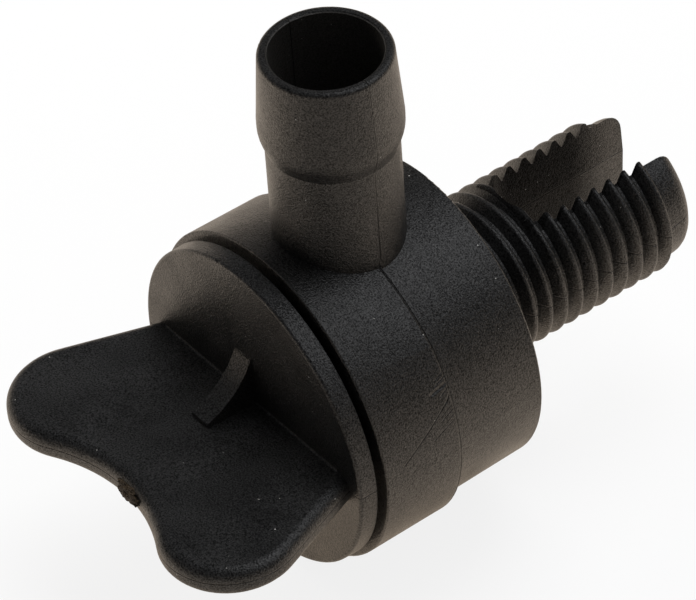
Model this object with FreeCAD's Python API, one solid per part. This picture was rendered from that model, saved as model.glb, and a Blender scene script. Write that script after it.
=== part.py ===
import FreeCAD, Part
import math
import os

# Radiator drain petcock with a hose outlet.
#
# Frame: the origin is the centre of the face that seats on the radiator tank.
# +Y runs along the plug's thread into the tank, the wing is towards -Y,
# and +Z runs up the hose nipple. Everything is in millimetres.
#
# The winged plug passes through the outlet collar and screws into the tank.
# Closed, its cap clamps the collar against the tank. Backed out, the slot in
# its threaded end lets coolant into the collar and out of the nipple.

os.makedirs("parts", exist_ok=True)

V = FreeCAD.Vector
ORIGIN = V(0, 0, 0)
X_AXIS = V(1, 0, 0)
Y_AXIS = V(0, 1, 0)
Z_AXIS = V(0, 0, 1)

# Outlet collar, a drum whose two moulded halves meet at the nipple's axis
nipple_setback = 8.76          # tank seat to the nipple's axis
collar_front_length = 7.14     # nipple's axis to the collar's front face
collar_front_radius = 13.9     # at the front face
collar_rear_radius = 12.99     # at the rear rim
collar_parting_step = 0.72     # how far the front half stands out at the joint line
collar_draft = 1.0             # degrees, each half thins away from the joint line
collar_edge = 0.15
collar_saddle_step = 0.07      # what is left of the step beside the nipple
collar_saddle_drop = 1.87      # stem axis to the centre of the flatter arc there
collar_front_wall = 2.85
chamber_radius = 10.6
chamber_corner = 0.8
bore_clearance = 0.10          # radial, between the plug's shank and the collar's bore

# Ring seal let into the collar's rear rim
tank_seal_width = 1.3
tank_seal_depth = 1.3          # how deep its seat is cut
tank_seal_proud = 0.3          # how far it stands out of the rim
tank_seal_side_gap = 0.05

# Hose nipple
nipple_height = 30.43          # stem axis to the rim
nipple_tube_radius = 5.07
nipple_barb_radius = 5.52
nipple_barb_land = 1.0
nipple_barb_drop = 6.2         # rim to the top of the barb's land
nipple_barb_back = 1.4         # length of the slope under the land
nipple_barb_back_round = 3.0
nipple_rim_radius = 5.10
nipple_rim_edge = 0.4
nipple_bore_radius = 4.34
nipple_bore_draft = 0.4        # degrees, the bore narrows downwards
nipple_bore_chamfer = 0.15

# Plug's cap and shank
cap_gap = 0.52                 # cap to the collar's front face
cap_thickness = 1.63
cap_radius = 13.38             # at its rear face
cap_slope = 0.03               # how much smaller it is at the front
cap_edge = 0.3
shank_over_thread = 0.22       # radial, so that the thread passes through the bore

# O-ring under the cap, in a recess round the collar's bore
cap_ring_section = 1.5
cap_ring_gap = 0.05            # to the cap and round the shank
cap_ring_side_gap = 0.2        # to the recess

# O-ring on the plug, which shuts the tank's mouth
plug_ring_section = 1.8
plug_ring_setback = 0.2        # tank seat to its middle, towards the cap
plug_groove_width = 2.0
plug_groove_depth = 0.45       # below the thread's root

# Thread, M14 x 1.5, right-handed, with soft moulded crests
thread_pitch = 1.5
thread_crest_radius = 6.63
thread_depth = 0.88
thread_crest_flat = 0.2
thread_root_flat = 0.3
thread_crest_at_parting = 1.36  # where a crest crosses the parting line at +X
thread_end = 18.3              # where the last turn has run out
thread_runout = 0.8

# Plain lead at the plug's tip
lead_rise = 0.2                # above the thread's root
plug_tip = 20.9
plug_tip_edge = 1.4

# Slot through the plug's threaded end
slot_start = 6.75
slot_end_flat = 0.35           # half the straight part of its closed end
slot_half_width = 3.27         # where it leaves the crests
slot_waist = 2.85              # half width at the moulding line inside it
slot_waist_height = 1.1

# Wing
wing_above = 1.07              # parting line to the top face
wing_below = 1.5               # parting line to the under face
wing_edge = 1.0
wing_root_half_width = 12.0
wing_lobe_x = 9.52
wing_lobe_reach = 9.32         # cap to the lobes' centres
wing_lobe_radius = 5.55
wing_notch_radius = 13.9
wing_turn = 0.9                # degrees off level when the plug is tight

# Gusset on each side of the wing, against the cap
gusset_thickness = 1.95
gusset_offset = -0.45          # its middle plane is off the stem axis
gusset_height = 5.45
gusset_reach = 4.5
gusset_radius = 6.92
gusset_foot = 0.4              # how high it ends above the wing's face

# Stub left where the plug was broken off its runner
gate_length = 2.2
gate_radius = 0.6
gate_offset = 1.3
gate_proud = 0.2               # its middle to the edge of the hollow

# Planes that several pieces share
rim_y = -tank_seal_proud
nipple_y = -nipple_setback
collar_front_y = nipple_y - collar_front_length
chamber_front_y = collar_front_y + collar_front_wall
cap_rear_y = collar_front_y - cap_gap
cap_front_y = cap_rear_y - cap_thickness
thread_root_radius = thread_crest_radius - thread_depth
lead_radius = thread_root_radius + lead_rise
shank_radius = thread_crest_radius + shank_over_thread
plug_groove_radius = thread_root_radius - plug_groove_depth
EMBED = 0.4                    # how far joined features reach into each other


def in_plan(z):
    """Place (x, y) points at height z."""
    return lambda u, v: V(u, v, z)


def about_y(u, v):
    """Place (radius, y) points for a revolve about Y."""
    return V(u, v, 0)


def about_nipple(u, v):
    """Place (radius, z) points for a revolve about the nipple's axis."""
    return V(u, nipple_y, v)


def rounded_wire(corners, place):
    """Closed wire through (u, v, radius) corners, with each corner rounded."""
    count = len(corners)
    starts, mids, ends = [], [], []
    for i in range(count):
        u, v, radius = corners[i]
        here = V(u, v, 0)
        before = V(corners[i - 1][0], corners[i - 1][1], 0) - here
        after = V(corners[(i + 1) % count][0], corners[(i + 1) % count][1], 0) - here
        if radius <= 0:
            starts.append(here)
            mids.append(None)
            ends.append(here)
            continue
        half = before.getAngle(after) / 2
        before.normalize()
        after.normalize()
        middle = (before + after).normalize()
        back = radius / math.tan(half)
        starts.append(here + before * back)
        mids.append(here + middle * (radius / math.sin(half) - radius))
        ends.append(here + after * back)
    edges = []
    for i in range(count):
        if mids[i] is not None:
            points = [place(p.x, p.y) for p in (starts[i], mids[i], ends[i])]
            edges.append(Part.Arc(*points).toShape())
        first = ends[i]
        second = starts[(i + 1) % count]
        if (second - first).Length > 1e-6:
            edges.append(Part.LineSegment(place(first.x, first.y), place(second.x, second.y)).toShape())
    return Part.Wire(edges)


def revolved(corners, place, centre, axis):
    return Part.Face(rounded_wire(corners, place)).revolve(centre, axis, 360)


def drafted(length, radius):
    """Radius after a drafted length, away from the joint line."""
    return radius + length * math.tan(math.radians(collar_draft))


def circle_wire(radius, y, z):
    return Part.Wire(Part.makeCircle(radius, V(0, y, z), Y_AXIS))


def barrel():
    """Outside of the collar: two halves with a step between them, nearly flush at the nipple."""
    rear_length = rim_y - nipple_y
    rear_joint = drafted(rear_length, collar_rear_radius)
    front_joint = rear_joint + collar_parting_step
    rear_corners = [
        (0, nipple_y - EMBED, 0),
        (rear_joint, nipple_y - EMBED, 0),
        (rear_joint, nipple_y, 0),
        (collar_rear_radius, rim_y, collar_edge),
        (0, rim_y, 0),
    ]
    front_corners = [
        (0, collar_front_y, 0),
        (collar_front_radius, collar_front_y, collar_edge),
        (front_joint, nipple_y, 0),
        (0, nipple_y, 0),
    ]
    saddle_radius = rear_joint + collar_saddle_step + collar_saddle_drop
    saddle = Part.makeLoft([
        circle_wire(collar_front_radius, collar_front_y, 0),
        circle_wire(saddle_radius, nipple_y, -collar_saddle_drop),
    ], True, True)
    front = revolved(front_corners, about_y, ORIGIN, Y_AXIS).common(saddle)
    return front.fuse(revolved(rear_corners, about_y, ORIGIN, Y_AXIS))


def chamber():
    """Room inside the collar: recess, bore, chamber and the ring seal's seat."""
    bore = shank_radius + bore_clearance
    recess = shank_radius + cap_ring_gap + cap_ring_section + cap_ring_side_gap
    recess_floor = cap_rear_y + cap_ring_gap + cap_ring_section + cap_ring_side_gap
    seat = chamber_radius + tank_seal_width + tank_seal_side_gap
    ledge = rim_y - tank_seal_depth
    corners = [
        (0, cap_rear_y, 0),
        (recess, cap_rear_y, 0),
        (recess, recess_floor, 0),
        (bore, recess_floor, 0),
        (bore, chamber_front_y, 0),
        (chamber_radius, chamber_front_y, chamber_corner),
        (chamber_radius, ledge, 0),
        (seat, ledge, 0),
        (seat, 0, 0),
        (0, 0, 0),
    ]
    return revolved(corners, about_y, ORIGIN, Y_AXIS)


def nipple():
    """Outside of the hose nipple, down to the stem axis."""
    land_top = nipple_height - nipple_barb_drop
    land_foot = land_top - nipple_barb_land
    back_foot = land_foot - nipple_barb_back
    corners = [
        (0, 0, 0),
        (nipple_tube_radius, 0, 0),
        (nipple_tube_radius, back_foot, 0),
        (nipple_barb_radius, land_foot, nipple_barb_back_round),
        (nipple_barb_radius, land_top, 0),
        (nipple_rim_radius, nipple_height, nipple_rim_edge),
        (0, nipple_height, 0),
    ]
    return revolved(corners, about_nipple, V(0, nipple_y, 0), Z_AXIS)


def nipple_bore():
    """Drafted bore from the stem axis to the rim, with a broken edge."""
    narrow = nipple_bore_radius - nipple_height * math.tan(math.radians(nipple_bore_draft))
    corners = [
        (0, 0, 0),
        (narrow, 0, 0),
        (nipple_bore_radius, nipple_height - nipple_bore_chamfer, 0),
        (nipple_bore_radius + 2 * nipple_bore_chamfer, nipple_height + nipple_bore_chamfer, 0),
        (0, nipple_height + nipple_bore_chamfer, 0),
    ]
    return revolved(corners, about_nipple, V(0, nipple_y, 0), Z_AXIS)


def outlet_collar():
    return barrel().fuse(nipple()).cut(chamber()).cut(nipple_bore())


def tank_seal():
    """Square-cut ring in the collar's rear rim. Its face is the tank seat."""
    outer = chamber_radius + tank_seal_width
    ledge = rim_y - tank_seal_depth
    corners = [(chamber_radius, ledge, 0), (outer, ledge, 0), (outer, 0, 0), (chamber_radius, 0, 0)]
    return revolved(corners, about_y, ORIGIN, Y_AXIS)


def o_ring(inner_radius, section, middle_y):
    return Part.makeTorus(inner_radius + section / 2, section / 2, V(0, middle_y, 0), Y_AXIS)


def cap_o_ring():
    middle = cap_rear_y + cap_ring_gap + cap_ring_section / 2
    return o_ring(shank_radius + cap_ring_gap, cap_ring_section, middle)


def plug_o_ring():
    return o_ring(plug_groove_radius, plug_ring_section, -plug_ring_setback)


def plug_core():
    """Cap, shank, O-ring groove, thread core and plain lead, turned about Y."""
    groove_front = -plug_ring_setback - plug_groove_width / 2
    groove_rear = groove_front + plug_groove_width
    corners = [
        (0, cap_front_y, 0),
        (cap_radius - cap_slope, cap_front_y, cap_edge),
        (cap_radius, cap_rear_y, 0),
        (shank_radius, cap_rear_y, 0),
        (shank_radius, groove_front, 0),
        (plug_groove_radius, groove_front, 0),
        (plug_groove_radius, groove_rear, 0),
        (thread_root_radius, groove_rear, 0),
        (thread_root_radius, thread_end, 0),
        (lead_radius, thread_end + lead_rise, 0),
        (lead_radius, plug_tip, plug_tip_edge),
        (0, plug_tip, 0),
    ]
    return revolved(corners, about_y, ORIGIN, Y_AXIS)


def thread_envelope():
    """Space that the thread may fill: chamfered at both ends."""
    start = -plug_ring_setback + plug_groove_width / 2
    outer = thread_crest_radius + EMBED
    corners = [
        (0, start, 0),
        (thread_root_radius, start, 0),
        (outer, start + thread_depth + EMBED, 0),
        (outer, thread_end - thread_runout, 0),
        (thread_root_radius, thread_end, 0),
        (0, thread_end, 0),
    ]
    return revolved(corners, about_y, ORIGIN, Y_AXIS)


def thread_ridge():
    """One helical ridge, swept along the root and trimmed at both ends."""
    start = thread_crest_at_parting - math.ceil(thread_crest_at_parting / thread_pitch + 1) * thread_pitch
    helix = Part.makeHelix(thread_pitch, thread_end - start, thread_root_radius)
    base = (thread_pitch - thread_root_flat) / 2
    top = thread_crest_flat / 2
    slope = (base - top) / thread_depth
    wide = base + slope * EMBED
    section = Part.makePolygon([
        V(thread_root_radius - EMBED, 0, -wide),
        V(thread_crest_radius, 0, -top),
        V(thread_crest_radius, 0, top),
        V(thread_root_radius - EMBED, 0, wide),
        V(thread_root_radius - EMBED, 0, -wide),
    ])
    ridge = Part.Wire(helix).makePipeShell([section], True, True)
    ridge.rotate(ORIGIN, X_AXIS, -90)
    ridge.translate(V(0, start, 0))
    return ridge.common(thread_envelope())


def slot_outline(half_width, z):
    """Open-ended slot in plan, run out past the tip."""
    past = plug_tip + EMBED
    corner = half_width - slot_end_flat
    corners = [
        (-half_width, past, 0),
        (-half_width, slot_start, corner),
        (half_width, slot_start, corner),
        (half_width, past, 0),
    ]
    return rounded_wire(corners, in_plan(z))


def slot():
    """Slot whose walls open up and down from the moulding line inside it."""
    draft = (slot_half_width - slot_waist) / thread_crest_radius
    halves = []
    for z in (-thread_crest_radius - EMBED, thread_crest_radius + EMBED):
        half_width = slot_waist + draft * abs(z - slot_waist_height)
        wires = [slot_outline(slot_waist, slot_waist_height), slot_outline(half_width, z)]
        halves.append(Part.makeLoft(wires, True, True))
    return halves[0].fuse(halves[1])


def wing_outline():
    """Two round lobes, straight flanks from the cap and one hollow between them."""
    lobe_y = cap_front_y - wing_lobe_reach
    root = V(wing_root_half_width, cap_front_y, 0)
    lobe = V(wing_lobe_x, lobe_y, 0)
    to_lobe = lobe - root
    lean = math.asin(wing_lobe_radius / to_lobe.Length)
    heading = math.atan2(to_lobe.y, to_lobe.x) + lean
    run = math.sqrt(to_lobe.Length ** 2 - wing_lobe_radius ** 2)
    flank_end = root + V(math.cos(heading), math.sin(heading), 0) * run
    deep = math.sqrt((wing_notch_radius + wing_lobe_radius) ** 2 - wing_lobe_x ** 2)
    notch_centre = V(0, lobe_y - deep, 0)
    towards_notch = (notch_centre - lobe).normalize()
    notch_end = lobe + towards_notch * wing_lobe_radius
    notch_middle = notch_centre + Y_AXIS * wing_notch_radius
    outward = ((flank_end - lobe).normalize() + towards_notch).normalize()
    lobe_middle = lobe + outward * wing_lobe_radius
    root_inside = root - (flank_end - root).normalize() * EMBED

    def mirrored(p):
        return V(-p.x, p.y, p.z)

    edges = [
        Part.LineSegment(mirrored(root_inside), root_inside).toShape(),
        Part.LineSegment(root_inside, flank_end).toShape(),
        Part.Arc(flank_end, lobe_middle, notch_end).toShape(),
        Part.Arc(notch_end, notch_middle, mirrored(notch_end)).toShape(),
        Part.Arc(mirrored(notch_end), mirrored(lobe_middle), mirrored(flank_end)).toShape(),
        Part.LineSegment(mirrored(flank_end), mirrored(root_inside)).toShape(),
    ]
    return Part.Wire(edges), notch_middle.y


def wing():
    """Flat paddle with softly rounded edges, in the plane of the parting line."""
    wire, notch_y = wing_outline()
    wire.translate(V(0, 0, -wing_below))
    plate = Part.Face(wire).extrude(V(0, 0, wing_above + wing_below))
    rims = []
    for edge in plate.Edges:
        box = edge.BoundBox
        if box.ZLength < 1e-6 and box.YMin < cap_front_y:
            rims.append(edge)
    plate = plate.makeFillet(wing_edge, rims)
    gate_start = V(gate_offset - gate_length / 2, notch_y - gate_proud, 0)
    gate = Part.makeCylinder(gate_radius, gate_length, gate_start, X_AXIS)
    return plate.fuse(gate)


def gusset(side):
    """Web with a hollow edge between the cap and one face of the wing."""
    face = wing_above if side > 0 else wing_below
    left = gusset_offset - gusset_thickness / 2
    foot_y = cap_front_y - gusset_reach
    top = V(left, cap_front_y, side * gusset_height)
    foot = V(left, foot_y, side * (face + gusset_foot))
    inside_y = cap_front_y + EMBED
    chord = foot - top
    sagitta = gusset_radius - math.sqrt(gusset_radius ** 2 - (chord.Length / 2) ** 2)
    inwards = V(0, -chord.z, chord.y).normalize()
    if inwards.z * side > 0:
        inwards = inwards * -1
    middle = (top + foot) * 0.5 + inwards * sagitta
    edges = [
        Part.Arc(top, middle, foot).toShape(),
        Part.LineSegment(foot, V(left, foot_y, 0)).toShape(),
        Part.LineSegment(V(left, foot_y, 0), V(left, inside_y, 0)).toShape(),
        Part.LineSegment(V(left, inside_y, 0), V(left, inside_y, top.z)).toShape(),
        Part.LineSegment(V(left, inside_y, top.z), top).toShape(),
    ]
    return Part.Face(Part.Wire(edges)).extrude(V(gusset_thickness, 0, 0))


def winged_plug():
    stem = plug_core().fuse(thread_ridge()).cut(slot())
    plug = stem.fuse([wing(), gusset(1), gusset(-1)]).removeSplitter()
    plug.rotate(ORIGIN, Y_AXIS, -wing_turn)
    return plug


def export(name, shape):
    solids = shape.Solids
    if len(solids) != 1:
        raise ValueError("%s is %d solids" % (name, len(solids)))
    solid = solids[0]
    solid.exportStep("parts/%s.step" % name)
    box = solid.BoundBox
    print("%-14s %8.1f mm3  valid %s  faces %d  y %.2f to %.2f" % (
        name, solid.Volume, solid.isValid(), len(solid.Faces), box.YMin, box.YMax))


export("outlet_collar", outlet_collar())
export("tank_seal", tank_seal())
export("cap_o_ring", cap_o_ring())
export("plug_o_ring", plug_o_ring())
export("winged_plug", winged_plug())
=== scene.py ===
# %% [markdown]
# Radiator drain petcock with a hose outlet, dressed for rendering.
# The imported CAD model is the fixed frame: it gives every size and every body. It could all be
# modelled again here, but the outlet collar and the seals already have their true shape, so they
# only get moulded materials. The winged plug is built again, with the rounded thread crests and
# soft edges that a moulding has and exact solids carry badly.

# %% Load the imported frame

import math

import bmesh
import bpy
from mathutils import Matrix, Vector, noise


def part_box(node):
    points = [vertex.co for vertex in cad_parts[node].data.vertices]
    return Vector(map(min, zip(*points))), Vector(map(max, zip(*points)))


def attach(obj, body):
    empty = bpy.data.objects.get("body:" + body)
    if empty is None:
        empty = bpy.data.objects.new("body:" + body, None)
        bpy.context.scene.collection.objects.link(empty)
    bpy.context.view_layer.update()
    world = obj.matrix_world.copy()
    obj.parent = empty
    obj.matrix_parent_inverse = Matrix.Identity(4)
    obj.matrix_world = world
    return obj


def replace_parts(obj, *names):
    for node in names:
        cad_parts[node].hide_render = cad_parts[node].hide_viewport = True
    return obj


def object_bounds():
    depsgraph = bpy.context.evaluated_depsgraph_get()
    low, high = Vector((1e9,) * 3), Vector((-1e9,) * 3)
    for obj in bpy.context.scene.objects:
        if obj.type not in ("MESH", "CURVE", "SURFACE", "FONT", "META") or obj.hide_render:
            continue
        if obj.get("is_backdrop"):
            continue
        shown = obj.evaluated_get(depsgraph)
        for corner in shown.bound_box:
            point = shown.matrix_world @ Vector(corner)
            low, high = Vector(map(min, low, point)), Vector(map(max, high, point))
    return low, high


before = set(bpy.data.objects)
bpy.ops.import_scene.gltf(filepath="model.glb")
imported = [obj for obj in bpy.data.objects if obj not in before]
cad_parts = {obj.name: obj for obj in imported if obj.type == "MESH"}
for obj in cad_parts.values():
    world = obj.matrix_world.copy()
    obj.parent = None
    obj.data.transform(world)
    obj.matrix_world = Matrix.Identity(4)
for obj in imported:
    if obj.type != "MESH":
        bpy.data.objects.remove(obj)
cad_low, cad_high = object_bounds()
MM = 0.001
plug_low, plug_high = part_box("winged_plug")
print("CAD box in mm:", [round(v / MM, 2) for v in (*cad_low, *cad_high)])
print("the plug's share of it:", [round(v / MM, 2) for v in (*plug_low, *plug_high)])

# %% [markdown]
# A finish is a tree of nodes, and most of them are small sums: where a point lies, how far it is
# from a line, how strong a mark is there. Wiring each by hand would hide the idea, so a few helpers
# add a node, do a sum, spread a value over a new range and mark the places near a plane. They all
# work on Object coordinates, which stay on the piece from any side. Sizes in them are in mm.

# %% Node helpers


def add(tree, kind, inputs=None, **settings):
    """Add a node. An input takes another node's output or a plain value."""
    made = tree.nodes.new(kind)
    for key, value in settings.items():
        setattr(made, key, value)
    for key, value in (inputs or {}).items():
        if isinstance(value, bpy.types.NodeSocket):
            tree.links.new(value, made.inputs[key])
        else:
            made.inputs[key].default_value = value
    return made


def calc(tree, operation, *values):
    return add(tree, "ShaderNodeMath", dict(enumerate(values)), operation=operation).outputs[0]


def spread(tree, value, low, high, to_low, to_high, kind="SMOOTHSTEP"):
    """Map low..high onto to_low..to_high, softly or along a straight line."""
    inputs = {"Value": value, "From Min": low, "From Max": high,
              "To Min": to_low, "To Max": to_high}
    return add(tree, "ShaderNodeMapRange", inputs, interpolation_type=kind).outputs["Result"]


def noise_at(tree, where, size_mm, detail=2.0, roughness=0.5):
    inputs = {"Vector": where, "Scale": 1 / (size_mm * MM),
              "Detail": detail, "Roughness": roughness}
    return add(tree, "ShaderNodeTexNoise", inputs).outputs["Fac"]


def ridge(tree, distance, half_width_mm):
    """1 on a plane, falling to 0 at half_width from it."""
    return spread(tree, calc(tree, "ABSOLUTE", distance), 0, half_width_mm * MM, 1, 0)


def between(tree, value, low_mm, high_mm, soft_mm=0.3):
    """1 between two planes, with soft ends outside them."""
    rise = spread(tree, value, (low_mm - soft_mm) * MM, low_mm * MM, 0, 1)
    fall = spread(tree, value, high_mm * MM, (high_mm + soft_mm) * MM, 1, 0)
    return calc(tree, "MULTIPLY", rise, fall)


def blended(tree, share, under, over):
    """Colour over on top of colour under by share. A colour is a socket or a plain triple."""
    mix = add(tree, "ShaderNodeMix", data_type="RGBA")
    tree.links.new(share, mix.inputs[0])
    for place, value in ((6, under), (7, over)):
        if isinstance(value, bpy.types.NodeSocket):
            tree.links.new(value, mix.inputs[place])
        else:
            mix.inputs[place].default_value = (*value, 1)
    return mix.outputs[2]


# %% [markdown]
# A few pale specks of dust sit on the real moulding. They could be loose grains of mesh, but those
# would be hundreds of pieces. A cell texture cut down to small balls gives the same specks, where
# the surface passes through a ball.

# %% Dust

DUST_COLOUR = (0.5, 0.49, 0.46)
DUST_CELL, DUST_RADIUS, DUST_SHARE = 1.1, 0.045, 0.35


def dust(tree, where):
    """Sparse specks, cut by the surface from small balls scattered through space."""
    inputs = {"Vector": where, "Scale": 1 / (DUST_CELL * MM), "Randomness": 1.0}
    cells = add(tree, "ShaderNodeTexVoronoi", inputs)
    near = calc(tree, "LESS_THAN", cells.outputs["Distance"], DUST_RADIUS / DUST_CELL)
    pick = add(tree, "ShaderNodeSeparateXYZ", {0: cells.outputs["Color"]}).outputs[0]
    return calc(tree, "MULTIPLY", near, calc(tree, "LESS_THAN", pick, DUST_SHARE))


# %% [markdown]
# Black moulded nylon isn't one flat black. The mould's fine spark-worn grain stands up in small
# pale peaks with dark, dull pits between them, and slow waves tint it. A plain colour with a bump
# looked like paint, so the same grain drives the colour, the gloss and the bump here. Mould lines,
# painted light and painted shade are masks that each piece hands in.

# %% Moulded plastic

WAVE_SIZE, PEBBLE_TIMES, PEBBLE_SHARE = 3.5, 4, 0.5
NOISE_LOW, NOISE_HIGH = 0.3, 0.7
TINT_LOW, TINT_HIGH = 0.7, 1.3
SMOOTHER, ROUGHER = 0.05, 0.07
PIT_GLOSS, PEAK_GLOSS = 0.4, 1.6
PAINTED_LIGHT_COLOUR = (0.16, 0.15, 0.135)
LINE_COLOUR, LINE_DEPTH = (0.001, 0.001, 0.001), 0.09


def moulded(name, pit, peak, roughness, specular, grain_mm, depth_mm,
            lines=None, painted_light=None, painted_shade=None):
    """Moulded plastic or rubber. lines, worn and dull take (tree, x, y, z) and give masks of
    dark mould lines, of painted light that makes the colour paler, and of painted shade that takes
    gloss away."""
    material = bpy.data.materials.new(name)
    material.use_nodes = True
    tree = material.node_tree
    shader = tree.nodes["Principled BSDF"]
    where = add(tree, "ShaderNodeTexCoord").outputs["Object"]
    split = add(tree, "ShaderNodeSeparateXYZ", {0: where})
    axes = [split.outputs[k] for k in "XYZ"]

    wave = noise_at(tree, where, WAVE_SIZE, 3.0)
    grain = noise_at(tree, where, grain_mm, 1.0, 0.6)
    pebble = noise_at(tree, where, grain_mm * PEBBLE_TIMES, 1.0)
    speck = spread(tree, grain, NOISE_LOW, NOISE_HIGH, 0, 1, "LINEAR")
    tint = spread(tree, wave, NOISE_LOW, NOISE_HIGH, TINT_LOW, TINT_HIGH, "LINEAR")
    surface = blended(tree, calc(tree, "MULTIPLY", speck, tint), pit, peak)
    # Painted light: the colour turns paler where this mask asks for it.
    if painted_light is not None:
        surface = blended(tree, painted_light(tree, *axes), surface, PAINTED_LIGHT_COLOUR)

    rough = spread(tree, wave, NOISE_LOW, NOISE_HIGH,
                   roughness - SMOOTHER, roughness + ROUGHER, "LINEAR")
    tree.links.new(rough, shader.inputs["Roughness"])
    gloss = spread(tree, speck, 0, 1, specular * PIT_GLOSS, specular * PEAK_GLOSS, "LINEAR")
    # Painted shade: the gloss falls where this mask asks for it.
    if painted_shade is not None:
        gloss = calc(tree, "MULTIPLY", gloss, painted_shade(tree, *axes))
    tree.links.new(gloss, shader.inputs["Specular IOR Level"])

    height = calc(tree, "ADD", grain, calc(tree, "MULTIPLY", pebble, PEBBLE_SHARE))
    inputs = {"Height": height, "Distance": depth_mm * MM, "Strength": 1.0}
    bump = add(tree, "ShaderNodeBump", inputs)
    if lines is not None:
        mask = lines(tree, *axes)
        surface = blended(tree, mask, surface, LINE_COLOUR)
        inputs = {"Height": mask, "Distance": LINE_DEPTH * MM, "Strength": 1.0,
                  "Normal": bump.outputs[0]}
        bump = add(tree, "ShaderNodeBump", inputs, invert=True)

    surface = blended(tree, dust(tree, where), surface, DUST_COLOUR)
    tree.links.new(surface, shader.inputs["Base Color"])
    tree.links.new(bump.outputs[0], shader.inputs["Normal"])
    print("material", name, "nodes", len(tree.nodes))
    return material


# %% [markdown]
# On the real drum the two mould halves meet on the nipple's axis, and short scratches run from
# there over the front half. They are too fine for mesh, and an image would need a flat map. Each
# one is a straight mark instead, between two points given as the distance round the drum and the
# place along the stem.

# %% Mould lines and drag marks of the collar

NIPPLE_Y = -8.76
NIPPLE_LINE_HALF = 0.055
SEAM_OFFSET, SEAM_HALF, SEAM_STRENGTH = -0.14, 0.12, 0.85
NIPPLE_FOOT, NIPPLE_CLEAR = 12.5, 13.5
SEAM_FADE, SEAM_END = 12.2, 13.2
DRUM_RADIUS = 13.95
MARK_ENDS = 0.4
DRAG_MARKS = (
    ((16.55, -8.85), (17.12, -9.35), 0.11),
    ((17.12, -9.35), (18.5, -11.25), 0.08),
    ((18.5, -11.25), (20.24, -13.9), 0.09),
    ((15.74, -8.94), (15.99, -10.28), 0.24),
    ((14.73, -8.8), (15.04, -9.54), 0.1),
    ((15.15, -8.8), (15.45, -9.7), 0.1),
    ((16.1, -8.85), (16.4, -9.5), 0.09),
    ((18.74, -8.82), (19.66, -10.97), 0.07),
    ((17.9, -8.85), (18.35, -9.9), 0.07),
    ((17.5, -8.85), (17.95, -9.8), 0.06),
    ((18.3, -8.85), (18.75, -9.7), 0.06),
)


def scratch(tree, arc, y, first, last, half_width_mm):
    """A straight mark from first to last, both (arc, y) in mm on the drum."""
    (a0, y0), (a1, y1) = first, last
    length = math.hypot(a1 - a0, y1 - y0)
    ca, cy = (a1 - a0) / length, (y1 - y0) / length
    da = calc(tree, "SUBTRACT", arc, a0 * MM)
    dy = calc(tree, "SUBTRACT", y, y0 * MM)
    along = calc(tree, "ADD", calc(tree, "MULTIPLY", da, ca), calc(tree, "MULTIPLY", dy, cy))
    across = calc(tree, "SUBTRACT", calc(tree, "MULTIPLY", dy, ca),
                  calc(tree, "MULTIPLY", da, cy))
    return calc(tree, "MULTIPLY", ridge(tree, across, half_width_mm),
                between(tree, along, 0, length, MARK_ENDS))


def collar_lines(tree, x, y, z):
    """The line up both sides of the nipple, the seam beside its foot, and the drag marks."""
    off = calc(tree, "SUBTRACT", y, NIPPLE_Y * MM)
    on_nipple = spread(tree, z, NIPPLE_FOOT * MM, NIPPLE_CLEAR * MM, 0, 1)
    mask = calc(tree, "MULTIPLY", ridge(tree, off, NIPPLE_LINE_HALF), on_nipple)
    seam = ridge(tree, calc(tree, "SUBTRACT", y, (NIPPLE_Y + SEAM_OFFSET) * MM), SEAM_HALF)
    on_drum = spread(tree, z, SEAM_FADE * MM, SEAM_END * MM, SEAM_STRENGTH, 0)
    mask = calc(tree, "MAXIMUM", mask, calc(tree, "MULTIPLY", seam, on_drum))
    arc = calc(tree, "MULTIPLY", calc(tree, "ARCTAN2", x, z), DRUM_RADIUS * MM)
    for first, last, half_width in DRAG_MARKS:
        mask = calc(tree, "MAXIMUM", mask, scratch(tree, arc, y, first, last, half_width))
    return mask


# %% [markdown]
# The front half of the drum stands out of the rear half, and a painted highlight runs along its
# sharp edge in patches. The nipple's bore gets painted light, a paler colour inside. Both could
# be materials of their own, but a mask in the one material has no border to line up.

# %% Painted light on the collar

EDGE_OFFSET, EDGE_HALF = 0.03, 0.06
EDGE_FADE, EDGE_END = 11, 12.5
PATCH_SIZE, PATCH_LOW, PATCH_HIGH, LEAST_LIT = 0.8, 0.35, 0.65, 0.2
BORE_REACH, BORE_LIGHT = 4.4, 0.22


def in_bore(tree, x, y):
    """1 inside the nipple's bore."""
    off = calc(tree, "SUBTRACT", y, NIPPLE_Y * MM)
    squares = calc(tree, "ADD", calc(tree, "MULTIPLY", x, x), calc(tree, "MULTIPLY", off, off))
    return calc(tree, "LESS_THAN", calc(tree, "SQRT", squares), BORE_REACH * MM)


def collar_painted_light(tree, x, y, z):
    """Painted highlight on the front half's edge, below the nipple's foot, and painted light in the
    bore.
    """
    edge = ridge(tree, calc(tree, "SUBTRACT", y, (NIPPLE_Y + EDGE_OFFSET) * MM), EDGE_HALF)
    where = add(tree, "ShaderNodeCombineXYZ", {0: x, 1: y, 2: z}).outputs[0]
    noise_there = noise_at(tree, where, PATCH_SIZE)
    patches = spread(tree, noise_there, PATCH_LOW, PATCH_HIGH, LEAST_LIT, 1)
    below_foot = spread(tree, z, EDGE_FADE * MM, EDGE_END * MM, 1, 0)
    # Painted highlight along the front half's edge, in patches.
    painted_light = calc(tree, "MULTIPLY", calc(tree, "MULTIPLY", edge, patches), below_foot)
    # Painted light: the bore is made paler, standing in for the light inside it.
    bore_light = calc(tree, "MULTIPLY", in_bore(tree, x, y), BORE_LIGHT)
    return calc(tree, "MAXIMUM", painted_light, bore_light)


# %% [markdown]
# The plug's mould line runs round it level with the wing. On the thread it sits a little higher,
# it climbs at the tip, and on the slot's walls it follows their narrowest place. One level plane
# would miss those steps, so the line's height is a small sum of them. A second mask paints shade
# deep inside the slot: it takes most of the gloss away there.

# %% Mould line and painted shade in the slot of the plug

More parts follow.
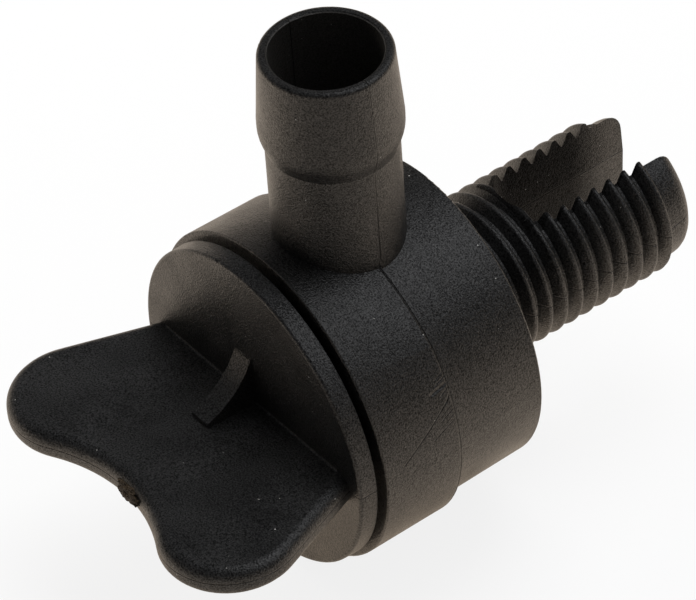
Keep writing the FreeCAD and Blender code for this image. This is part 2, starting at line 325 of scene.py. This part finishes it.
WING_TURN = 0.9
WAIST_HEIGHT = 1.3
LINE_HALF = 0.075
THREAD_LIFT, TIP_LIFT = 0.25, 0.42
CLIMB_START, CLIMB_END = 18.3, 20.3
SLOT_FLOOR, SLOT_SIDE, SLOT_MOUTH = 6.6, 3.2, 3.25
SLOT_SHADE, FULL_SHADE_END, GLOSS_START = 0.92, 15.5, 20.8


def slot_space(tree, x, y, half_width_mm):
    """1 past the slot's closed end and between its walls."""
    past_end = calc(tree, "GREATER_THAN", y, SLOT_FLOOR * MM)
    side = calc(tree, "ABSOLUTE", x)
    return calc(tree, "MULTIPLY", past_end, calc(tree, "LESS_THAN", side, half_width_mm * MM))


def plug_lines(tree, x, y, z):
    """The mould line, which tilts with the wing and is lifted on the thread and at the tip."""
    tilt = math.tan(math.radians(WING_TURN))
    level = calc(tree, "SUBTRACT", z, calc(tree, "MULTIPLY", x, tilt))
    lift = calc(tree, "MULTIPLY", calc(tree, "GREATER_THAN", y, 0), THREAD_LIFT * MM)
    climb = spread(tree, y, CLIMB_START * MM, CLIMB_END * MM, 0, TIP_LIFT * MM, "LINEAR")
    lift = calc(tree, "ADD", lift, climb)
    inputs = {0: slot_space(tree, x, y, SLOT_SIDE), 2: lift, 3: WAIST_HEIGHT * MM}
    lift = add(tree, "ShaderNodeMix", inputs).outputs[0]
    return ridge(tree, calc(tree, "SUBTRACT", level, lift), LINE_HALF)


def slot_painted_shade(tree, x, y, z):
    """Painted shade: full gloss outside, and less of it deep in the slot."""
    deep = spread(tree, y, FULL_SHADE_END * MM, GLOSS_START * MM, 1, 0)
    inside = calc(tree, "MULTIPLY", deep, slot_space(tree, x, y, SLOT_MOUTH))
    return calc(tree, "SUBTRACT", 1, calc(tree, "MULTIPLY", inside, SLOT_SHADE))


# %% [markdown]
# Collar and plug came out of two moulds, so they are two blacks: the plug's peaks are a shade
# lighter. The seals are a smoother, duller rubber. The torn gate shows the raw plastic, brownish
# and rough. One material with settings could do, but four named ones say what each surface is.

# %% The four finishes

collar_plastic = moulded(
    "moulded_collar", pit=(0.001, 0.001, 0.001), peak=(0.014, 0.0135, 0.013),
    roughness=0.35, specular=0.8, grain_mm=0.13, depth_mm=0.05,
    lines=collar_lines, painted_light=collar_painted_light)
plug_plastic = moulded(
    "moulded_plug", pit=(0.001, 0.001, 0.001), peak=(0.019, 0.019, 0.019),
    roughness=0.36, specular=0.75, grain_mm=0.13, depth_mm=0.05,
    lines=plug_lines, painted_shade=slot_painted_shade)
rubber = moulded(
    "seal_rubber", pit=(0.004, 0.004, 0.004), peak=(0.012, 0.012, 0.012),
    roughness=0.6, specular=0.4, grain_mm=0.3, depth_mm=0.01)
torn = moulded(
    "torn_gate", pit=(0.008, 0.006, 0.004), peak=(0.06, 0.042, 0.025),
    roughness=0.6, specular=0.4, grain_mm=0.12, depth_mm=0.06)

# %% [markdown]
# The camera stands where the photograph's circles put it: 55 degrees round, 43 degrees up, and
# nearly half a metre away, with a long lens. A Track To constraint would aim it, but the photo's
# small roll and its middle off the nipple's axis need the three axes of the view set one by one.

# %% Camera

CAMERA_AZIMUTH = 0.961008
CAMERA_HEIGHT = 0.749741
CAMERA_ROLL = -0.076112
CAMERA_DISTANCE = 457.998
CAMERA_LENS = 310.345
MIDDLE_RIGHT, MIDDLE_UP = 0.757 / 6000, 52.075 / 6000


def look_through_camera():
    a, e, roll = CAMERA_AZIMUTH, CAMERA_HEIGHT, CAMERA_ROLL
    back = Vector((math.sin(a) * math.cos(e), -math.cos(a) * math.cos(e), math.sin(e)))
    level = Vector((math.cos(a), math.sin(a), 0))
    upright = back.cross(level)
    right = level * math.cos(roll) + upright * math.sin(roll)
    up = upright * math.cos(roll) - level * math.sin(roll)
    eye = back - right * MIDDLE_RIGHT + up * MIDDLE_UP
    eye = eye * CAMERA_DISTANCE + Vector((0, NIPPLE_Y, 0))
    data = bpy.data.cameras.new("camera")
    data.lens = CAMERA_LENS
    data.sensor_width = 36
    data.clip_start, data.clip_end = 0.01, 20
    camera = bpy.data.objects.new("camera", data)
    turn = Matrix((right, up, back)).transposed().to_4x4()
    camera.matrix_world = Matrix.Translation(eye * MM) @ turn
    bpy.context.scene.collection.objects.link(camera)
    bpy.context.scene.camera = camera
    print("camera at, in mm:", [round(v) for v in eye])


look_through_camera()

# %% [markdown]
# The real one lay on white in a light tent. Black plastic shows its shape by what it mirrors, so
# the world matters more than the lamps: a dim ceiling, one soft box that the wing and the drum
# mirror, and a warm band on the horizon for the edges. The camera itself sees plain white there.
# Two lamps fill in, and they are kept out of the reflections so that they leave no hard spots.

# %% Light

CEILING = (0.08, 0.08, 0.082)
SOFT_BOX, SOFT_BOX_AIM = (0.85, 0.86, 0.88), (0.25, 0.433, 0.866)
SOFT_BOX_EDGE, SOFT_BOX_CORE = 0.8, 0.97
HORIZON, HORIZON_LOW, HORIZON_HIGH = (1.0, 0.84, 0.68), -0.02, 0.07


def lamp(name, place_mm, size_mm, watts, colour):
    """A round lamp that points at the origin."""
    data = bpy.data.lights.new(name, "AREA")
    data.shape = "DISK"
    data.size = size_mm * MM
    data.energy = watts
    data.color = colour
    obj = bpy.data.objects.new(name, data)
    obj.location = Vector(place_mm) * MM
    obj.rotation_mode = "QUATERNION"
    obj.rotation_quaternion = (obj.location * -1).to_track_quat("-Z", "Y")
    obj.visible_glossy = False
    bpy.context.scene.collection.objects.link(obj)


def tent():
    world = bpy.data.worlds.new("tent")
    world.use_nodes = True
    tree = world.node_tree
    aim = add(tree, "ShaderNodeTexCoord").outputs["Generated"]
    height = add(tree, "ShaderNodeSeparateXYZ", {0: aim}).outputs["Z"]
    toward = add(tree, "ShaderNodeVectorMath", {0: aim, 1: SOFT_BOX_AIM},
                 operation="DOT_PRODUCT").outputs["Value"]
    box = spread(tree, toward, SOFT_BOX_EDGE, SOFT_BOX_CORE, 0, 1)
    sky = blended(tree, box, CEILING, SOFT_BOX)
    sky = blended(tree, spread(tree, height, HORIZON_LOW, HORIZON_HIGH, 1, 0), sky, HORIZON)
    light = tree.nodes["Background"]
    tree.links.new(sky, light.inputs["Color"])
    light.inputs["Strength"].default_value = 1.0
    seen = add(tree, "ShaderNodeBackground", {"Color": (1, 1, 1, 1), "Strength": 1.0})
    rays = add(tree, "ShaderNodeLightPath")
    inputs = {0: rays.outputs["Is Camera Ray"], 1: light.outputs[0], 2: seen.outputs[0]}
    chosen = add(tree, "ShaderNodeMixShader", inputs)
    tree.links.new(chosen.outputs[0], tree.nodes["World Output"].inputs["Surface"])
    bpy.context.scene.world = world


bpy.context.scene.view_settings.view_transform = "Standard"
tent()
lamp("overhead", place_mm=(-120, 160, 420), size_mm=420, watts=1.8, colour=(0.97, 0.98, 1.0))
lamp("left", place_mm=(-420, -60, 160), size_mm=260, watts=0.9, colour=(1.0, 0.95, 0.88))
print("world", bpy.context.scene.world.name, "and two lamps")

# %% [markdown]
# The white sheet under the object takes its shadow and is mirrored in its under sides. A plain
# white material under this light would come out grey, and more light would bleach the plastic. So
# the camera's and the mirror rays see a plain glow mixed over the sheet, and what is left of the
# sheet itself still takes the shadow. The glow is warm in mirror rays, and dimmer in front of the
# object, where the real sheet ended.

# %% Floor

FLOOR_DROP, FLOOR_REACH = 0.2, 3000
SHEET = (0.95, 0.95, 0.945, 1)
SEEN_GLOW, MIRRORED_GLOW = 0.85, 0.75
WARM_SHEET, SHEET_FRONT, FRONT_AIM = (1.0, 0.81, 0.62), (0.35, 0.28, 0.21), (0.82, -0.57, 0)
FRONT_START, FRONT_FULL = 5, 60


def sheet_material():
    material = bpy.data.materials.new("pale_floor")
    material.use_nodes = True
    tree = material.node_tree
    shader = tree.nodes["Principled BSDF"]
    shader.inputs["Base Color"].default_value = SHEET
    shader.inputs["Roughness"].default_value = 0.9
    shader.inputs["Specular IOR Level"].default_value = 0.1
    rays = add(tree, "ShaderNodeLightPath")
    glossy = rays.outputs["Is Glossy Ray"]
    place = add(tree, "ShaderNodeNewGeometry").outputs["Position"]
    ahead = add(tree, "ShaderNodeVectorMath", {0: place, 1: FRONT_AIM},
                operation="DOT_PRODUCT").outputs["Value"]
    front = spread(tree, ahead, FRONT_START * MM, FRONT_FULL * MM, 0, 1)
    warm = blended(tree, front, WARM_SHEET, SHEET_FRONT)
    colour = blended(tree, glossy, (1, 1, 1), warm)
    glow = add(tree, "ShaderNodeEmission", {"Color": colour, "Strength": 1.0})
    seen = calc(tree, "MULTIPLY", rays.outputs["Is Camera Ray"], SEEN_GLOW)
    share = calc(tree, "MAXIMUM", seen, calc(tree, "MULTIPLY", glossy, MIRRORED_GLOW))
    inputs = {0: share, 1: shader.outputs[0], 2: glow.outputs[0]}
    both = add(tree, "ShaderNodeMixShader", inputs)
    tree.links.new(both.outputs[0], tree.nodes["Material Output"].inputs["Surface"])
    return material


bm = bmesh.new()
bmesh.ops.create_grid(bm, x_segments=1, y_segments=1, size=FLOOR_REACH * MM)
bmesh.ops.translate(bm, vec=(0, 0, cad_low.z - FLOOR_DROP * MM), verts=bm.verts)
sheet = bpy.data.meshes.new("floor")
bm.to_mesh(sheet)
bm.free()
sheet.materials.append(sheet_material())
floor = bpy.data.objects.new("floor", sheet)
bpy.context.scene.collection.objects.link(floor)
floor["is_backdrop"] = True
print("floor at z", round(cad_low.z / MM - FLOOR_DROP, 2), "mm")

# %% [markdown]
# The plug's features are all drawn first and then turned or pushed into solids, as they would be
# at a workbench. A section is a face with a few corners, whose vertices are bevelled round, which
# is less work than points laid along each arc by hand. The mesh work is in millimetres, and a
# finished piece is scaled to metres once.

# %% Sections and objects

SAME = 1e-4
TURN_AXES = {"X": (1, 0, 0), "Y": (0, 1, 0), "Z": (0, 0, 1)}


def draw_face(bm, corners, steps):
    """Face through (x, y, z, radius) corners, with the radii made by vertex bevels."""
    verts = [bm.verts.new(corner[:3]) for corner in corners]
    bm.faces.new(verts)
    for vert, (*_, radius) in zip(verts, corners):
        if radius:
            one, two = (edge.other_vert(vert).co - vert.co for edge in vert.link_edges)
            bmesh.ops.bevel(bm, geom=[vert], offset=radius / math.tan(one.angle(two) / 2),
                            offset_type="OFFSET", segments=steps, profile=0.5,
                            affect="VERTICES", material=-1)


def to_object(name, bm):
    """Merge doubles, point the faces outwards and make the mesh an object."""
    bmesh.ops.remove_doubles(bm, verts=bm.verts, dist=SAME)
    bmesh.ops.recalc_face_normals(bm, faces=bm.faces)
    open_edges = sum(not edge.is_manifold for edge in bm.edges)
    mesh = bpy.data.meshes.new(name)
    bm.to_mesh(mesh)
    bm.free()
    obj = bpy.data.objects.new(name, mesh)
    bpy.context.scene.collection.objects.link(obj)
    print(name, "faces", len(mesh.polygons), "open edges", open_edges)
    return obj


# %% [markdown]
# The plug's core is a turned shape: cap, shank, O-ring groove, thread root and the smooth lead at
# its tip. It could be stacked from cylinders, but one half section spun round the stem gives every
# shoulder its own edge radius, and there is nothing to join. The side of the section that lies on
# the stem's axis is taken out before the spin, because a closed solid has no wall there.

# %% Turned core

CAP_FRONT, CAP_REAR, CAP_RADIUS, CAP_SLOPE = -18.05, -16.42, 13.38, 0.03
SHANK = 6.85
GROOVE_FRONT, GROOVE_REAR, GROOVE_RADIUS = -1.2, 0.8, 5.3
ROOT = 5.75
LEAD_START, LEAD, TIP, TIP_EDGE = 17.75, 5.95, 20.9, 1.4
CORE_STEPS, EDGE_STEPS = 160, 6
FULL_TURN = 2 * math.pi

bm = bmesh.new()
draw_face(bm, [(radius, y, 0, edge) for radius, y, edge in (
    (0, CAP_FRONT, 0),
    (CAP_RADIUS - CAP_SLOPE, CAP_FRONT, 0.3),
    (CAP_RADIUS, CAP_REAR, 0.12),
    (SHANK, CAP_REAR, 0),
    (SHANK, GROOVE_FRONT, 0.1),
    (GROOVE_RADIUS, GROOVE_FRONT, 0),
    (GROOVE_RADIUS, GROOVE_REAR, 0),
    (ROOT, GROOVE_REAR, 0.1),
    (ROOT, LEAD_START, 0.08),
    (LEAD, LEAD_START + LEAD - ROOT, 0.1),
    (LEAD, TIP, TIP_EDGE),
    (0, TIP, 0),
)], EDGE_STEPS)
axis_side = [edge for edge in bm.edges if max(vert.co.x for vert in edge.verts) < SAME]
bmesh.ops.delete(bm, geom=axis_side, context="EDGES")
bmesh.ops.spin(bm, geom=bm.verts[:] + bm.edges[:], cent=(0, 0, 0), axis=TURN_AXES["Y"],
               angle=FULL_TURN, steps=CORE_STEPS, use_merge=True)
plug = to_object("winged_plug_visual", bm)

# %% [markdown]
# Thread, wing and gussets need arcs in their outlines, and an arc is one vertex spun about a
# centre. Each solid is then joined to the core or cut out of it. Solids that only overlap would
# render too, but their hidden walls show where a piece is cut, so the exact Boolean is applied.

# %% Arcs, chains and joints


def draw_arc(bm, start, centre, axis, angle, steps):
    """Spin the vertex start into an arc round centre, and give the arc's last vertex."""
    return bmesh.ops.spin(bm, geom=[start], cent=centre, axis=TURN_AXES[axis], angle=angle,
                          steps=steps)["geom_last"][0]


def draw_chain(bm, verts):
    for pair in zip(verts, verts[1:]):
        bm.edges.new(pair)


def only_verts(items):
    return [item for item in items if isinstance(item, bmesh.types.BMVert)]


def combined(base, other, operation):
    """base joined with other or cut by it, exactly; other is used up."""
    modifier = base.modifiers.new("cut", "BOOLEAN")
    modifier.object = other
    modifier.operation = operation
    modifier.solver = "EXACT"
    bpy.context.view_layer.update()
    shown = base.evaluated_get(bpy.context.evaluated_depsgraph_get())
    result = bpy.data.meshes.new_from_object(shown)
    base.modifiers.clear()
    base.data = result
    bpy.data.objects.remove(other)
    return base


# %% [markdown]
# The thread is a moulded M14 x 1.5 one with rounded crests. A Screw modifier sweeps such a shape
# too, but a spin that climbs a little with each step does it where the mesh can still be worked on.
# One tooth is drawn from foot to foot, a pitch long, and copied into a comb. Spun once round, the
# comb has climbed one pitch, so its end merges with its start into a single skin. A spin of one
# tooth through all the turns gives the same skin, but takes ten times as long.

# %% Thread

PITCH, CREST, CREST_ROUND = 1.5, 6.63, 0.26
CREST_FLAT, ROOT_FLAT = 0.2, 0.3
SUNK_ROOT = ROOT - 0.06
CREST_AT_PARTING = 1.36
FULL_THREAD_END, THREAD_END = 17.95, 18.9
STEPS_PER_TURN, DOME_STEPS = 144, 6
TURNS = math.ceil((THREAD_END + 3) / PITCH) + 2

flank_angle = math.atan((PITCH - ROOT_FLAT - CREST_FLAT) / 2 / (CREST - ROOT))
dome = Vector((CREST - CREST_ROUND, CREST_AT_PARTING - 2 * PITCH, 0))
swing = math.pi / 2 - flank_angle
bm = bmesh.new()
low = bm.verts.new(dome + Matrix.Rotation(-swing, 3, "Z") @ Vector((CREST_ROUND, 0, 0)))
high = draw_arc(bm, low, dome, "Z", 2 * swing, DOME_STEPS)
feet = []
for shoulder, side in ((low, -1), (high, 1)):
    depth = shoulder.co.x - SUNK_ROOT
    flank = Vector((-depth, side * depth * math.tan(flank_angle), 0))
    half_way, foot = (bm.verts.new(shoulder.co + flank * share) for share in (0.5, 1))
    draw_chain(bm, [shoulder, half_way, foot])
    feet.append(foot)
draw_chain(bm, [feet[1], bm.verts.new(feet[0].co + Vector((0, PITCH, 0)))])
tooth = bm.verts[:] + bm.edges[:]
for turn in range(1, TURNS):
    copied = bmesh.ops.duplicate(bm, geom=tooth)["geom"]
    bmesh.ops.translate(bm, vec=(0, PITCH * turn, 0), verts=only_verts(copied))
bmesh.ops.remove_doubles(bm, verts=bm.verts, dist=SAME)
bmesh.ops.spin(bm, geom=bm.verts[:] + bm.edges[:], cent=(0, 0, 0), axis=TURN_AXES["Y"],
               dvec=(0, PITCH / STEPS_PER_TURN, 0), angle=FULL_TURN, steps=STEPS_PER_TURN)
bmesh.ops.remove_doubles(bm, verts=bm.verts, dist=10 * SAME)
print("thread:", TURNS, "turns, flank", round(math.degrees(flank_angle), 1), "degrees")

# %% [markdown]
# A real thread doesn't stop dead. It starts with a chamfer at the O-ring groove and runs out before
# the lead. A cone cut at each end would leave sharp rings, so the skin is pressed down towards the
# core instead, where it dips under the surface. It is cut square and closed inside the core, and
# joined to it.

# %% Thread ends

SKIN_START, SKIN_END = GROOVE_REAR + 0.05, THREAD_END + 0.1

run_out_slope = (CREST - SUNK_ROOT) / (THREAD_END - FULL_THREAD_END)
for vert in bm.verts:
    radius = math.hypot(vert.co.x, vert.co.z)
    chamfer = SUNK_ROOT + max(0, vert.co.y - GROOVE_REAR)
    run_out = SUNK_ROOT + max(0, THREAD_END - vert.co.y) * run_out_slope
    pressed = min(radius, chamfer, run_out) / radius
    vert.co.x *= pressed
    vert.co.z *= pressed
for y, outwards in ((SKIN_START, -1), (SKIN_END, 1)):
    bmesh.ops.bisect_plane(bm, geom=bm.verts[:] + bm.edges[:] + bm.faces[:],
                           plane_co=(0, y, 0), plane_no=(0, outwards, 0), clear_outer=True)
    rim = [edge for edge in bm.edges
           if edge.is_boundary and abs(edge.verts[0].co.y - y) < SAME]
    bmesh.ops.holes_fill(bm, edges=rim, sides=0)
plug = combined(plug, to_object("thread", bm), "UNION")

# %% [markdown]
# The slot lets the coolant through when the plug is backed out. The cutter for it could be a box
# with a rounded end, but a mould pulls up and down out of such a slot, so its walls have draft and
# are closest at their waist. Three outlines are drawn, at the waist and past the thread above and
# below it, and bridged.

# %% Slot

SLOT_START, SLOT_END_FLAT = 6.75, 0.35
SLOT_HALF, SLOT_WAIST = 3.27, 2.85
PAST_CREST, PAST_TIP = CREST + 0.5, TIP + 1
SLOT_STEPS = 14


def edges_at(bm, z):
    return [edge for edge in bm.edges if all(abs(vert.co.z - z) < SAME for vert in edge.verts)]


bm = bmesh.new()
for z in (-PAST_CREST, WAIST_HEIGHT, PAST_CREST):
    half = SLOT_WAIST + (SLOT_HALF - SLOT_WAIST) / CREST * abs(z - WAIST_HEIGHT)
    turn = half - SLOT_END_FLAT
    draw_face(bm, [(-half, PAST_TIP, z, 0), (-half, SLOT_START, z, turn),
                   (half, SLOT_START, z, turn), (half, PAST_TIP, z, 0)], SLOT_STEPS)
waist = [face for face in bm.faces if abs(face.calc_center_median().z - WAIST_HEIGHT) < SAME]
bmesh.ops.delete(bm, geom=waist, context="FACES_ONLY")
for z in (-PAST_CREST, PAST_CREST):
    bmesh.ops.bridge_loops(bm, edges=edges_at(bm, z) + edges_at(bm, WAIST_HEIGHT))
plug = combined(plug, to_object("slot", bm), "DIFFERENCE")

# %% [markdown]
# The wing is a flat paddle with two lobes and a hollow between them, and its edge is a half round
# with a short flat. Its outline is a straight side, an arc round the lobe and an arc in the hollow
# that meet without a corner, so their centres follow from the radii. One half is drawn and
# mirrored, the face is extruded down, and the upper and lower rims are bevelled round.

# %% Wing

WING_ABOVE, WING_BELOW, WING_EDGE = 1.07, 1.5, 1.0
WING_ROOT, LOBE_X, LOBE_REACH, LOBE_RADIUS, NOTCH_RADIUS = 12.0, 9.52, 9.32, 5.545, 13.9
LOBE_STEPS, NOTCH_STEPS, RIM_STEPS = 28, 16, 8
EMBED = 0.4


def heading_of(vector):
    return math.atan2(vector.y, vector.x)


def push(bm, way):
    """Fill the closed outline in bm and extrude it by the vector way."""
    outline = bmesh.ops.edgeloop_fill(bm, edges=bm.edges[:])["faces"]
    grown = bmesh.ops.extrude_face_region(bm, geom=outline, use_keep_orig=True)["geom"]
    bmesh.ops.translate(bm, vec=way, verts=only_verts(grown))


lobe = Vector((LOBE_X, CAP_FRONT - LOBE_REACH, WING_ABOVE))
root = Vector((WING_ROOT, CAP_FRONT, WING_ABOVE))
reach = lobe - root
side_heading = heading_of(reach) + math.asin(LOBE_RADIUS / reach.length)
along = Vector((math.cos(side_heading), math.sin(side_heading), 0))
outward = Vector((-along.y, along.x, 0))
notch_drop = math.sqrt((NOTCH_RADIUS + LOBE_RADIUS) ** 2 - LOBE_X ** 2)
notch = Vector((0, lobe.y - notch_drop, WING_ABOVE))
notch_y = notch.y + NOTCH_RADIUS

bm = bmesh.new()
middle = bm.verts.new((0, CAP_FRONT + EMBED, WING_ABOVE))
start = bm.verts.new(root - along * EMBED)
touch = bm.verts.new(lobe + outward * LOBE_RADIUS)
draw_chain(bm, [middle, start, touch])
round_lobe = (heading_of(notch - lobe) - heading_of(outward)) % FULL_TURN - FULL_TURN
meeting = draw_arc(bm, touch, lobe, "Z", round_lobe, LOBE_STEPS)
draw_arc(bm, meeting, notch, "Z", math.pi / 2 - heading_of(lobe - notch), NOTCH_STEPS)
bmesh.ops.mirror(bm, geom=bm.verts[:] + bm.edges[:], axis="X", merge_dist=SAME)
bmesh.ops.remove_doubles(bm, verts=bm.verts, dist=SAME)
push(bm, (0, 0, -WING_ABOVE - WING_BELOW))
rims = [edge for edge in bm.edges if abs(edge.verts[0].co.z - edge.verts[1].co.z) < SAME
        and min(vert.co.y for vert in edge.verts) < CAP_FRONT]
bmesh.ops.bevel(bm, geom=rims, offset=WING_EDGE, offset_type="OFFSET", segments=RIM_STEPS,
                profile=0.5, affect="EDGES", material=-1)
plug = combined(plug, to_object("wing", bm), "UNION")

# %% [markdown]
# Where the wing's upper face meets the cap, the mould has a small fillet. A bevel after the join
# would have to find that edge among thousands, so the fillet is a strip of its own: a quarter arc,
# closed by straight sides that sink into the wing and the cap, and pushed along the root.

# %% Fillet at the wing's root

FILLET, FILLET_SINK, FILLET_DEPTH = 0.2, 0.1, 0.2
FILLET_HALF = WING_ROOT - 1.3

bm = bmesh.new()
centre = Vector((-FILLET_HALF, CAP_FRONT - FILLET, WING_ABOVE + FILLET))
start = bm.verts.new(centre - Vector((0, 0, FILLET)))
end = draw_arc(bm, start, centre, "X", math.pi / 2, RIM_STEPS)
draw_chain(bm, [end, *(bm.verts.new((-FILLET_HALF, y, z)) for y, z in (
    (CAP_FRONT + FILLET_DEPTH, WING_ABOVE + FILLET),
    (CAP_FRONT + FILLET_DEPTH, WING_ABOVE - FILLET_SINK),
    (CAP_FRONT - FILLET, WING_ABOVE - FILLET_SINK),
)), start])
push(bm, (2 * FILLET_HALF, 0, 0))
plug = combined(plug, to_object("root_fillet", bm), "UNION")

# %% [markdown]
# A gusset stiffens the wing on each side: a thin web whose free edge is a hollow arc from the cap
# down to the wing. A plain triangle would be quicker, but the arc is what catches the light in the
# photo. Its centre follows from its two ends and its radius. The lower web is the same one
# mirrored, with its foot on the wing's under face.

# %% Gussets

GUSSET_LEFT, GUSSET_THICK = -1.425, 1.95
GUSSET_TOP, GUSSET_REACH, GUSSET_RADIUS, GUSSET_FOOT = 5.45, 4.5, 6.92, 0.4
GUSSET_STEPS = 14

for side, face_height in ((1, WING_ABOVE), (-1, WING_BELOW)):
    top = Vector((GUSSET_LEFT, CAP_FRONT, GUSSET_TOP))
    foot = Vector((GUSSET_LEFT, CAP_FRONT - GUSSET_REACH, face_height + GUSSET_FOOT))
    chord = foot - top
    away = Vector((0, chord.z, -chord.y)).normalized()
    centre = (top + foot) / 2 + away * math.sqrt(GUSSET_RADIUS ** 2 - chord.length_squared / 4)
    bm = bmesh.new()
    start = bm.verts.new(top)
    hollow = (top - centre).angle(foot - centre)
    end = draw_arc(bm, start, centre, "X", -hollow, GUSSET_STEPS)
    draw_chain(bm, [end, *(bm.verts.new((GUSSET_LEFT, y, z)) for y, z in (
        (foot.y, 0),
        (CAP_FRONT + EMBED, 0),
        (CAP_FRONT + EMBED, GUSSET_TOP),
    )), start])
    push(bm, (GUSSET_THICK, 0, 0))
    bmesh.ops.scale(bm, vec=(1, 1, side), verts=bm.verts)
    plug = combined(plug, to_object("gusset", bm), "UNION")

# %% [markdown]
# In the photo the tight plug stops with its wing nearly a degree off level. The turn could sit on
# the object, but a finished piece has to lie at the origin unturned, so it goes into the mesh. The
# piece then stands for the CAD node of the plug and rides on its body. Its edges are sharp or
# smooth by their angle, so the draft faces stay flat and the rounds shade softly.

# %% Hand over the plug


def finished(obj, body, material, sharp_degrees=32):
    """Scale to metres, shade by angle, and hand the piece to its body."""
    bm = bmesh.new()
    bm.from_mesh(obj.data)
    bmesh.ops.remove_doubles(bm, verts=bm.verts, dist=SAME)
    bmesh.ops.scale(bm, vec=(MM, MM, MM), verts=bm.verts)
    for face in bm.faces:
        face.smooth = True
    for edge in bm.edges:
        edge.smooth = edge.calc_face_angle(0) < math.radians(sharp_degrees)
    bm.to_mesh(obj.data)
    bm.free()
    obj.data.materials.clear()
    obj.data.materials.append(material)
    weighted = obj.modifiers.new("weighted", "WEIGHTED_NORMAL")
    weighted.keep_sharp = True
    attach(obj, body)
    print(obj.name, "faces", len(obj.data.polygons))
    return obj


plug.data.transform(Matrix.Rotation(math.radians(-WING_TURN), 4, "Y"))
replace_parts(finished(plug, "plug", plug_plastic), "winged_plug")

# %% [markdown]
# The plug was broken off its runner in the mould, which left a ragged stub in the wing's hollow.
# It has no plain shape to draw, so it is a ball squashed to the stub's size, and two sizes of noise
# push its surface in and out. mathutils noise is the same in each run.

# %% Gate stub

STUB_SIZE = Vector((1.45, 0.5, 0.62))
STUB_X, STUB_SINK, STUB_LEAN, STUB_Z = 1.25, 0.12, 0.12, 0.02
LUMP, LUMP_COUNT, LUMP_SHIFT = 0.35, 1.7, Vector((3.1, 0.4, 7.7))
TEAR, TEAR_COUNT = 0.16, 5.0

bm = bmesh.new()
bmesh.ops.create_icosphere(bm, subdivisions=5, radius=1.0)
for vert in bm.verts:
    swell = 1 + LUMP * noise.noise(vert.co * LUMP_COUNT + LUMP_SHIFT)
    swell += TEAR * noise.noise(vert.co * TEAR_COUNT)
    vert.co = vert.co * STUB_SIZE * swell
    vert.co += Vector((STUB_X, notch_y - STUB_SINK - STUB_LEAN * vert.co.x, STUB_Z))
finished(to_object("gate_stub", bm), "plug", torn, 50)

# %% [markdown]
# The collar and the three seals keep their CAD meshes, which are exact and never move. They only
# need a finish; each row also holds the slot name under which the part's record lists it.

# %% Materials of the CAD nodes

for node_name, material, slot_name in (
    ("outlet_collar", collar_plastic, "collar_plastic"),
    ("tank_seal", rubber, "seal_rubber"),
    ("cap_o_ring", rubber, "seal_rubber"),
    ("plug_o_ring", rubber, "seal_rubber"),
):
    cad_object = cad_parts[node_name]
    cad_object.data.materials.clear()
    cad_object.data.materials.append(material)
    print(node_name, "has", material.name)

# %% [markdown]
# The dressed object's box is printed, to set beside the CAD model's box, which is its real size.
# The dressed object has to stay in the CAD model's box, because the box is its real size.

# %% Size of the dressed object

low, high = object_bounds()
print("visual box in mm:", [round(v / MM, 2) for v in (*low, *high)])
